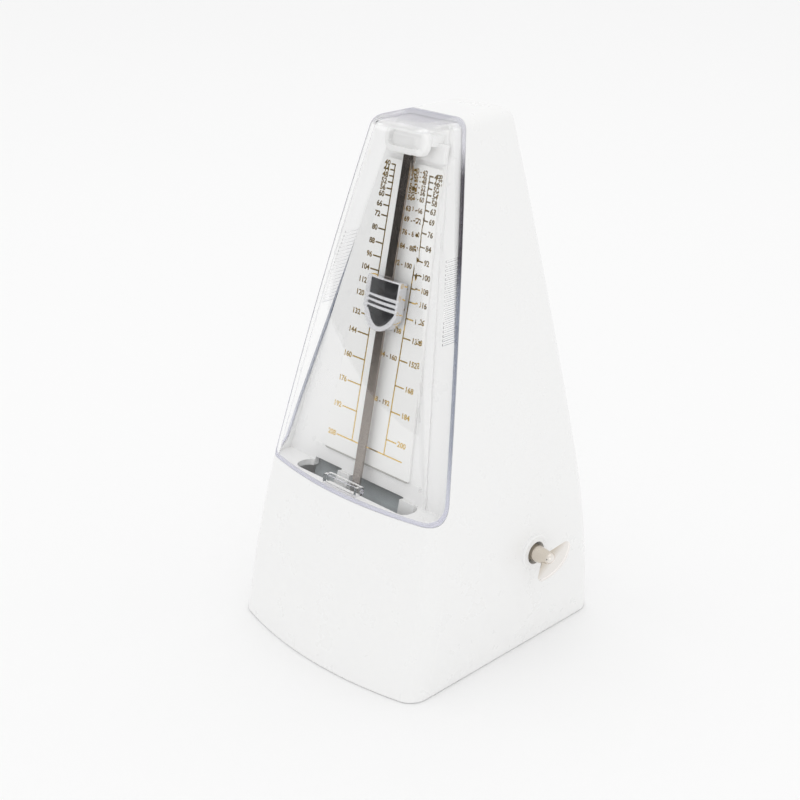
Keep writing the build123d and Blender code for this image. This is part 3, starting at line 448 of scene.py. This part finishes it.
def mixed_with_straight(finish, shade, mask, tint):
    """The shade, replaced where the mask is high by tinted light that goes straight through."""
    mix = finish.nodes.new("ShaderNodeMixShader")
    straight = finish.nodes.new("ShaderNodeBsdfTransparent")
    straight.inputs["Color"].default_value = (*tint, 1.0)
    finish.links.new(mask, mix.inputs["Fac"])
    finish.links.new(shade, mix.inputs[1])
    finish.links.new(straight.outputs["BSDF"], mix.inputs[2])
    return mix.outputs["Shader"]


# Painted reflections and shade up the cover's cut edge, from its foot to its crown
EDGE_PAINTED_TONES = (
    (0.00, (0.80, 0.80, 0.90)),
    (0.08, (0.70, 0.72, 0.82)),
    (0.20, (0.40, 0.43, 0.52)),
    (0.55, (0.30, 0.33, 0.41)),
    (0.66, (0.06, 0.05, 0.07)),
    (0.86, (0.06, 0.05, 0.07)),
    (0.93, (0.84, 0.84, 0.90)),
)


def cut_edge():
    """Edge of the clear cover with painted reflections and shade: lilac at the foot and the crown, blue grey and
    then dark up the sides.
    """
    finish = Finish("cut_edge", EDGE_PAINTED_TONES[0][1], 0.25)
    nodes, links = finish.nodes, finish.links
    place = nodes.new("ShaderNodeTexCoord")
    split = nodes.new("ShaderNodeSeparateXYZ")
    links.new(place.outputs["Object"], split.inputs["Vector"])
    height = remap(nodes, links, split.outputs["Z"], 0.0, 1.0, PARTING_LOW.z, PARTING_HIGH.z)
    ramp = nodes.new("ShaderNodeValToRGB")
    tones = ramp.color_ramp.elements
    while len(tones) < len(EDGE_PAINTED_TONES):
        tones.new(0.5)
    for tone, (position, shade) in zip(tones, EDGE_PAINTED_TONES):
        tone.position = position
        tone.color = (*shade, 1.0)
    links.new(height, ramp.inputs["Fac"])
    links.new(ramp.outputs["Color"], finish.shader.inputs["Base Color"])
    touched = finish.group(bpy.data.node_groups["handling"], Scale=1.0)
    finish.rough(touched.outputs["Smear"], 0.15, 0.35)
    finish.constant(Alpha=EDGE_ALPHA)


def make_finishes(colours):
    """One finish for each material slot of the record, and the gold ink of the print."""
    moulded_skin_group()
    drawn_grain_group()
    handling_group()
    along_rod = (4200.0, 60.0, 60.0)
    fine = (900.0, 900.0, 900.0)
    rolled = (1500.0, 90.0, 90.0)
    case = plastic("case_white", colours.case, 0.30, 0.05, 0.04)
    case.constant(Coat_Weight=0.25, Coat_Roughness=0.12)
    plastic("base_white", colours.base, 0.55, 0.08, 0.15)
    plate = plastic("plate_white", colours.plate, 0.52, 0.06, 0.05)
    plate.constant(Specular_IOR_Level=0.25)
    # Painted shadow: a dark band along the plate's lower edge, where it meets the case
    plate.over(plane_mask(plate, -UP, -UP.dot(FACE @ PLATE_LOW) - PLATE_SHADOW_BAND, MASK_SOFT), colours.plate_edge)
    plastic("foot_rubber", (0.035, 0.035, 0.036), 0.80, 0.08, 0.35, 3.0)
    metal("zinc_steel", colours.zinc, 0.34, rolled, scaled(colours.zinc, 0.8))
    sheet = metal("sheet_steel", colours.sheet, 0.45, rolled, scaled(colours.sheet, 0.85), metallic=0.25)
    # Painted shade: the slot sheet darkens over its upper 7 mm towards its top, where the front above the slot
    # shades it
    sheet.over(plane_mask(sheet, UP, UP.dot(FACE @ SHEET_HIGH), SHEET_SHADE), scaled(colours.sheet, 0.12))
    metal("spring_steel", (0.36, 0.37, 0.40), 0.26, fine, (0.26, 0.27, 0.33))
    metal("rod_steel", colours.rod, 0.20, along_rod, scaled(colours.rod, 0.82))
    metal("brass", colours.brass, 0.24, fine, (0.60, 0.40, 0.17))
    metal("cast_iron", (0.24, 0.24, 0.25), 0.55, fine, (0.17, 0.16, 0.16), 0.7)
    plated("chrome", (0.72, 0.72, 0.74), 0.05)
    key = plated("nickel", colours.nickel, 0.10)
    # Painted reflection: beyond WING_OUT the key's wings take a lighter tone than its nickel barrel
    key.over(plane_mask(key, ACROSS, ACROSS.dot(PIVOT) + WING_OUT, WING_SOFT), colours.wing)
    plated("gold_ink", colours.gold, 0.20)
    clear_plastic()
    cut_edge()


def add_piece(name, mesh, body, finish):
    """New object for a mesh, with its finish, riding on a body."""
    piece = bpy.data.objects.new(name, mesh)
    bpy.context.scene.collection.objects.link(piece)
    mesh.materials.append(bpy.data.materials[finish + FINISHED])
    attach(piece, body)
    return piece


def mesh_from(name, shape):
    """Finished mesh from a bmesh, smooth but for its sharp edges."""
    bmesh.ops.remove_doubles(shape, verts=shape.verts, dist=MERGE_DISTANCE)
    bmesh.ops.recalc_face_normals(shape, faces=shape.faces)
    mesh = bpy.data.meshes.new(name)
    shape.to_mesh(mesh)
    shape.free()
    mesh.shade_smooth()
    mesh.set_sharp_from_angle(angle=SHARP_ANGLE)
    return mesh


def add_bar(shape, low, high):
    """Box between two corners in face coordinates."""
    corners = [FACE @ Vector((x, up, out)) for out in (low[2], high[2])
               for x, up in ((low[0], low[1]), (high[0], low[1]), (high[0], high[1]), (low[0], high[1]))]
    verts = [shape.verts.new(corner) for corner in corners]
    for ring in ((3, 2, 1, 0), (4, 5, 6, 7), (0, 1, 5, 4), (1, 2, 6, 5), (2, 3, 7, 6), (3, 0, 4, 7)):
        shape.faces.new([verts[i] for i in ring])


def add_text(shape, words, size, x, up, out, film, bold, align):
    """Raised text on the face, standing at a point; it is drawn large and then brought down to size."""
    curve = bpy.data.curves.new("text", "FONT")
    curve.body = words
    curve.size = size / MM
    curve.align_x = align
    curve.align_y = "CENTER"
    curve.extrude = film / 2 / MM
    curve.offset = bold / MM
    curve.resolution_u = 3
    writer = bpy.data.objects.new("text", curve)
    mesh = bpy.data.meshes.new_from_object(writer)
    mesh.transform(FACE @ Matrix.Translation((x, up, out + film / 2)) @ Matrix.Scale(MM, 4))
    shape.from_mesh(mesh)
    bpy.data.objects.remove(writer)
    bpy.data.meshes.remove(mesh)
    bpy.data.curves.remove(curve)


LEFT_TEMPOS = (40, 44, 48, 52, 56, 60, 66, 72, 80, 88, 96, 104, 112, 120, 132, 144, 160, 176, 192, 208)
RIGHT_TEMPOS = (42, 46, 50, 54, 58, 63, 69, 76, 84, 92, 100, 108, 116, 126, 138, 152, 168, 184, 200)
TEMPO_RANGES = (
    (40, 42), (42, 46), (46, 48), (50, 52), (52, 56), (56, 60), (63, 66), (69, 72), (76, 80), (84, 88),
    (92, 100), (104, 112), (116, 126), (132, 138), (144, 160), (168, 192),
)
GRAVITY = 9.81


def tempo_height(tempo, sizes):
    """Height of the weight's top above the pivot that makes the pendulum beat this often a minute."""
    swing = (pi * tempo / 60) ** 2
    root = GRAVITY ** 2 + 4 * swing * (GRAVITY * sizes.balance - swing * sizes.gyration)
    return sizes.zero + (sqrt(root) - GRAVITY) / (2 * swing)


OWN_FINISH = {"slot_sheet": "sheet_steel"}


class METRONOME_OT_finishes(Operator):
    """Make the finishes and give each solid its own"""
    bl_idname = "metronome.finishes"
    bl_label = "Finishes"

    def execute(self, context):
        make_finishes(context.scene.metronome_colours)
        for row in frame["record"]["subparts"]:
            finish = OWN_FINISH.get(row["node"], row["material_slot"])
            frame["nodes"][row["node"]].data.materials[0] = bpy.data.materials[finish + FINISHED]
        return {"FINISHED"}


class METRONOME_OT_scale_print(Operator):
    """Print the lines, ticks and numbers of the tempo scale"""
    bl_idname = "metronome.scale_print"
    bl_label = "Scale print"

    def execute(self, context):
        sizes = context.scene.metronome_print
        lines = bmesh.new()
        numbers = bmesh.new()
        lowest = tempo_height(LEFT_TEMPOS[-1], sizes)
        print_column(lines, numbers, sizes, -1, LEFT_TEMPOS, sizes.left_tick_low, lowest)
        print_column(lines, numbers, sizes, 1, RIGHT_TEMPOS, sizes.right_tick_low, lowest)
        print_line(lines, sizes, (-sizes.rail, lowest), (sizes.base_end, lowest))
        for slow, fast in TEMPO_RANGES:
            up = (tempo_height(slow, sizes) + tempo_height(fast, sizes)) / 2
            add_text(numbers, f"{slow} - {fast}", sizes.range_digit, sizes.range_end, up, PLATE_HIGH.z,
                     sizes.film, sizes.bold, "RIGHT")
        add_piece("scale_lines", mesh_from("scale_lines", lines), "case", "gold_ink")
        add_piece("scale_numbers", mesh_from("scale_numbers", numbers), "case", "gold_ink")
        return {"FINISHED"}


def print_line(shape, sizes, start, end):
    """Level or upright printed line between two points on the plate."""
    half = sizes.line / 2
    low = (min(start[0], end[0]) - half, min(start[1], end[1]) - half, PLATE_HIGH.z)
    high = (max(start[0], end[0]) + half, max(start[1], end[1]) + half, PLATE_HIGH.z + sizes.film)
    add_bar(shape, low, high)


def print_column(lines, numbers, sizes, side, tempos, tick_low, lowest):
    """Upright line with a tick and a number for each tempo; the ticks grow longer downwards."""
    rail = side * sizes.rail
    heights = [tempo_height(tempo, sizes) for tempo in tempos]
    print_line(lines, sizes, (rail, lowest), (rail, heights[0]))
    for tempo, up in zip(tempos, heights):
        share = (heights[0] - up) / (heights[0] - lowest)
        tip = rail + side * (sizes.tick_high + share * (tick_low - sizes.tick_high))
        print_line(lines, sizes, (rail, up), (tip, up))
        add_text(numbers, str(tempo), sizes.digit, tip + side * NUMBER_GAP, up, PLATE_HIGH.z,
                 sizes.film, sizes.bold, "LEFT" if side > 0 else "RIGHT")


RIBS = 3
SHIELD_STEPS = 16
EDGE_STEPS = 6
COLUMNS = 24


def weight_rows(sizes, tall):
    """The weight's front down its middle: drop below the top, distance back, share of the shield's bow."""
    rows = [(0.0, sizes.bevel, 0.0), (sizes.bevel, 0.0, 0.0), (sizes.panel, 0.0, 0.0)]
    for rib in range(RIBS):
        top = sizes.panel + rib * sizes.pitch
        rows.append((top + RIB_STEP, sizes.groove, 0.0))
        rows.append((top + sizes.slope, 0.0, 0.0))
        rows.append((top + sizes.pitch, 0.0, 0.0))
    start = sizes.panel + RIBS * sizes.pitch + RIB_STEP
    reach = tall - start - sizes.bevel
    for step in range(SHIELD_STEPS + 1):
        share = step / SHIELD_STEPS
        drop = reach * share
        back = sizes.groove - sizes.lift * drop + (sizes.lift + sizes.fall) * drop ** 2 / (2 * reach)
        rows.append((start + drop, back, share))
    rows.append((tall, rows[-1][1] + sizes.bevel, 1.0))
    return rows


def weight_half_width(drop, tall, half):
    """Half the width of the weight at a height below its top: straight sides, then a round foot."""
    below = max(drop - (tall - half), 0.0)
    return sqrt(max(half ** 2 - below ** 2, 0.0))


def weight_columns(width, sizes):
    """Places across one row with the fall of the rounded edge at each."""
    edge = min(sizes.edge, width)
    flat = width - edge
    rounded = []
    for step in range(1, EDGE_STEPS + 1):
        turn = pi / 2 * step / EDGE_STEPS
        rounded.append((flat + edge * sin(turn), sizes.edge_depth * (1 - cos(turn))))
    middle = [(flat * (2 * i / COLUMNS - 1), 0.0) for i in range(COLUMNS + 1)]
    return [(-x, fall) for x, fall in reversed(rounded)] + middle + rounded


def weight_shape(sizes):
    """Closed shell of the weight in face coordinates."""
    half = WEIGHT_HIGH.x
    tall = WEIGHT_HIGH.y - WEIGHT_LOW.y
    shape = bmesh.new()
    grid = []
    for drop, back, share in weight_rows(sizes, tall):
        row = []
        for x, fall in weight_columns(weight_half_width(drop, tall, half), sizes):
            bow = x ** 2 / (2 * sizes.bow) + share * x ** 2 / (2 * sizes.shield_bow)
            row.append(shape.verts.new((x, WEIGHT_HIGH.y - drop, WEIGHT_HIGH.z - back - bow - fall)))
        grid.append(row)
    for above, below in zip(grid, grid[1:]):
        for i in range(len(above) - 1):
            shape.faces.new((above[i], below[i], below[i + 1], above[i + 1]))
    bmesh.ops.remove_doubles(shape, verts=shape.verts, dist=MERGE_DISTANCE)
    edges = [edge for edge in shape.edges if edge.is_boundary]
    grown = bmesh.ops.extrude_edge_only(shape, edges=edges)["geom"]
    for item in grown:
        if isinstance(item, bmesh.types.BMVert):
            item.co.z = WEIGHT_LOW.z
    rim = [edge for edge in shape.edges if edge.is_boundary]
    bmesh.ops.contextual_create(shape, geom=rim)
    return shape


def carved(name, mesh, cutter):
    """The mesh with a cutter taken out of it."""
    piece = bpy.data.objects.new(name, mesh)
    tool = bpy.data.objects.new("cutter", cutter)
    for item in (piece, tool):
        bpy.context.scene.collection.objects.link(item)
    cut = piece.modifiers.new("cut", "BOOLEAN")
    cut.object = tool
    cut.operation = "DIFFERENCE"
    cut.solver = "EXACT"
    depsgraph = bpy.context.evaluated_depsgraph_get()
    result = bpy.data.meshes.new_from_object(piece.evaluated_get(depsgraph))
    result.name = name
    for item, data in ((piece, mesh), (tool, cutter)):
        bpy.data.objects.remove(item)
        bpy.data.meshes.remove(data)
    return result


class METRONOME_OT_weight(Operator):
    """Shape the chromed weight with its panel, ribs and shield"""
    bl_idname = "metronome.weight"
    bl_label = "Sliding weight"

    def execute(self, context):
        sizes = context.scene.metronome_weight
        shape = weight_shape(sizes)
        bmesh.ops.transform(shape, matrix=FACE, verts=shape.verts)
        channel = bmesh.new()
        half = ROD_HIGH.x + sizes.play
        low = (-half, WEIGHT_LOW.y - MM, CHANNEL_BACK)
        high = (half, WEIGHT_HIGH.y + MM, CHANNEL_FRONT)
        add_bar(channel, low, high)
        body = mesh_from("weight_body", shape)
        mesh = carved("sliding_weight_shape", body, mesh_from("channel", channel))
        if len(mesh.polygons) < SHIELD_STEPS * COLUMNS:
            raise RuntimeError("the weight's channel could not be cut")
        mesh.set_sharp_from_angle(angle=SHARP_ANGLE)
        piece = add_piece("sliding_weight_shape", mesh, "weight", "chrome")
        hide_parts("sliding_weight")
        return {"FINISHED"}


def cover_slice(shape, planes):
    """Adds the part of the clear cover that lies beyond every plane, a hair larger than the cover."""
    part = bmesh.new()
    part.from_mesh(frame["nodes"]["clear_cover"].data)
    bmesh.ops.remove_doubles(part, verts=part.verts, dist=MERGE_DISTANCE)
    for point, normal in planes:
        geometry = part.verts[:] + part.edges[:] + part.faces[:]
        cut = bmesh.ops.bisect_plane(part, geom=geometry, plane_co=point, plane_no=normal, clear_inner=True)
        border = [item for item in cut["geom_cut"] if isinstance(item, bmesh.types.BMEdge)]
        bmesh.ops.triangle_fill(part, edges=border, use_beauty=True)
    bmesh.ops.recalc_face_normals(part, faces=part.faces)
    part.normal_update()
    for vert in part.verts:
        vert.co += vert.normal * EDGE_PROUD
    mesh = bpy.data.meshes.new("slice")
    part.to_mesh(mesh)
    part.free()
    shape.from_mesh(mesh)
    bpy.data.meshes.remove(mesh)


class METRONOME_OT_cover_edge(Operator):
    """Give the clear cover's cut edges their painted reflections and shade"""
    bl_idname = "metronome.cover_edge"
    bl_label = "Cover edge"

    def execute(self, context):
        shape = bmesh.new()
        planes = edge_planes()
        for i, plane in enumerate(planes):
            cover_slice(shape, [plane] + [(point, -normal) for point, normal in planes[:i]])
        latch = bmesh.new()
        add_bar(latch, (-LATCH_HALF, 0.0, LATCH_BACK), (LATCH_HALF, LATCH_REACH, LATCH_FRONT))
        mesh = carved("cover_edge", mesh_from("cover_rim", shape), mesh_from("latch_space", latch))
        if not mesh.polygons:
            raise RuntimeError("the cover has no edge to tint")
        add_piece("cover_edge", mesh, "cover", "cut_edge")
        return {"FINISHED"}


FLOOR_HALF = 6.0
SKY_SEEN = (0.95, 0.95, 0.95)
LAMPS = (
    ("overhead_lamp", (-0.2, 0.1, 1.6), 1.6, 1.5),
    ("front_lamp", (1.1, -0.9, 1.0), 1.0, 0.6),
)
CARD_HALF = (0.88, 0.24)
CARD_PLACE = (-0.53, -1.19, 0.26)
SENSOR_WIDTH = 36.0


class METRONOME_OT_stage(Operator):
    """Put up the floor, the light and the camera"""
    bl_idname = "metronome.stage"
    bl_label = "Stage"

    def execute(self, context):
        stage = context.scene.metronome_stage
        make_floor(stage)
        make_sky(context.scene, stage)
        make_lamps()
        make_dark_card()
        make_camera(context.scene, stage)
        context.scene.view_settings.view_transform = "Standard"
        return {"FINISHED"}


def flat_card(name, half_width, half_depth):
    """Flat rectangle in its own XY plane."""
    shape = bmesh.new()
    signs = ((-1, -1), (1, -1), (1, 1), (-1, 1))
    shape.faces.new([shape.verts.new((x * half_width, y * half_depth, 0.0)) for x, y in signs])
    mesh = bpy.data.meshes.new(name)
    shape.to_mesh(mesh)
    shape.free()
    card = bpy.data.objects.new(name, mesh)
    bpy.context.scene.collection.objects.link(card)
    return card


def make_floor(stage):
    """Sheet of paper under the metronome."""
    floor = flat_card("floor", FLOOR_HALF, FLOOR_HALF)
    floor.location.z = CAD_BOX[0].z
    paper = Finish("floor_paper", stage.floor, 0.9)
    paper.constant(Specular_IOR_Level=0.1)
    fibres = noise(paper.nodes, 30.0, 2.0)
    paper.tint(fibres.outputs["Fac"], scaled(stage.floor, 0.995))
    floor.data.materials.append(paper.material)


def make_sky(scene, stage):
    """Even light from all round, and a white that the camera, metal and glass see."""
    world = bpy.data.worlds.new("studio")
    scene.world = world
    world.use_nodes = True
    nodes, links = world.node_tree.nodes, world.node_tree.links
    lit = nodes["Background"]
    lit.inputs["Color"].default_value = (1.0, 1.0, 1.0, 1.0)
    lit.inputs["Strength"].default_value = stage.sky
    seen = nodes.new("ShaderNodeBackground")
    seen.inputs["Color"].default_value = (*SKY_SEEN, 1.0)
    rays = nodes.new("ShaderNodeLightPath")
    first = nodes.new("ShaderNodeMath")
    first.operation = "MAXIMUM"
    links.new(rays.outputs["Is Camera Ray"], first.inputs[0])
    links.new(rays.outputs["Is Glossy Ray"], first.inputs[1])
    either = nodes.new("ShaderNodeMath")
    either.operation = "MAXIMUM"
    links.new(first.outputs["Value"], either.inputs[0])
    links.new(rays.outputs["Is Transmission Ray"], either.inputs[1])
    mix = nodes.new("ShaderNodeMixShader")
    links.new(either.outputs["Value"], mix.inputs["Fac"])
    links.new(lit.outputs["Background"], mix.inputs[1])
    links.new(seen.outputs["Background"], mix.inputs[2])
    links.new(mix.outputs["Shader"], nodes["World Output"].inputs["Surface"])


def make_lamps():
    """Round lamps aimed at the pivot: name, place, size in metres and power in watts."""
    for name, place, size, power in LAMPS:
        data = bpy.data.lights.new(name, "AREA")
        data.shape = "DISK"
        data.size = size
        data.energy = power
        lamp = bpy.data.objects.new(name, data)
        lamp.location = place
        lamp.rotation_euler = (PIVOT - lamp.location).to_track_quat("-Z", "Y").to_euler()
        bpy.context.scene.collection.objects.link(lamp)


def make_dark_card():
    """Dark end of the room that only bright metal and the cover show."""
    card = flat_card("dark_card", *CARD_HALF)
    card.location = CARD_PLACE
    card.rotation_euler = (PIVOT - card.location).to_track_quat("Z", "Y").to_euler()
    for ray in ("camera", "diffuse", "shadow", "volume_scatter"):
        setattr(card, "visible_" + ray, False)
    cloth = Finish("dark_cloth", (0.02, 0.02, 0.022), 0.9)
    weave = noise(cloth.nodes, 300.0)
    cloth.tint(weave.outputs["Fac"], (0.03, 0.03, 0.03))
    card.data.materials.append(cloth.material)


def make_camera(scene, stage):
    """Camera that looks at the metronome's middle plane."""
    data = bpy.data.cameras.new("camera")
    data.lens = stage.lens
    data.sensor_width = SENSOR_WIDTH
    camera = bpy.data.objects.new("camera", data)
    aim = Vector((PIVOT.x, stage.aim_y, stage.aim_z))
    flat = cos(stage.elevation)
    back = Vector((sin(stage.azimuth) * flat, -cos(stage.azimuth) * flat, sin(stage.elevation)))
    camera.location = aim + back * stage.distance
    camera.rotation_euler = (pi / 2 - stage.elevation, 0.0, stage.azimuth)
    scene.collection.objects.link(camera)
    scene.camera = camera


class METRONOME_PT_panel(Panel):
    """Lists the steps that dress the metronome"""
    bl_idname = "METRONOME_PT_panel"
    bl_label = "Metronome"
    bl_space_type = "VIEW_3D"
    bl_region_type = "UI"
    bl_category = "Metronome"

    def draw(self, context):
        for operator in OPERATORS:
            self.layout.operator(operator.bl_idname)
        for group in GROUPS.values():
            settings = getattr(context.scene, group)
            for label in settings.bl_rna.properties.keys():
                if label not in ("rna_type", "name"):
                    self.layout.prop(settings, label)


OPERATORS = (
    METRONOME_OT_finishes,
    METRONOME_OT_scale_print,
    METRONOME_OT_weight,
    METRONOME_OT_cover_edge,
    METRONOME_OT_stage,
)
GROUPS = {
    MetronomePrint: "metronome_print",
    MetronomeWeight: "metronome_weight",
    MetronomeColours: "metronome_colours",
    MetronomeStage: "metronome_stage",
}


def register():
    for cls in (*GROUPS, *OPERATORS, METRONOME_PT_panel):
        bpy.utils.register_class(cls)
    for cls, name in GROUPS.items():
        setattr(bpy.types.Scene, name, PointerProperty(type=cls))


def unregister():
    for name in GROUPS.values():
        delattr(bpy.types.Scene, name)
    for cls in reversed((*GROUPS, *OPERATORS, METRONOME_PT_panel)):
        bpy.utils.unregister_class(cls)


def main():
    register()
    for operator in OPERATORS:
        family, name = operator.bl_idname.split(".")
        getattr(getattr(bpy.ops, family), name)()


if __name__ == "__main__":
    main()
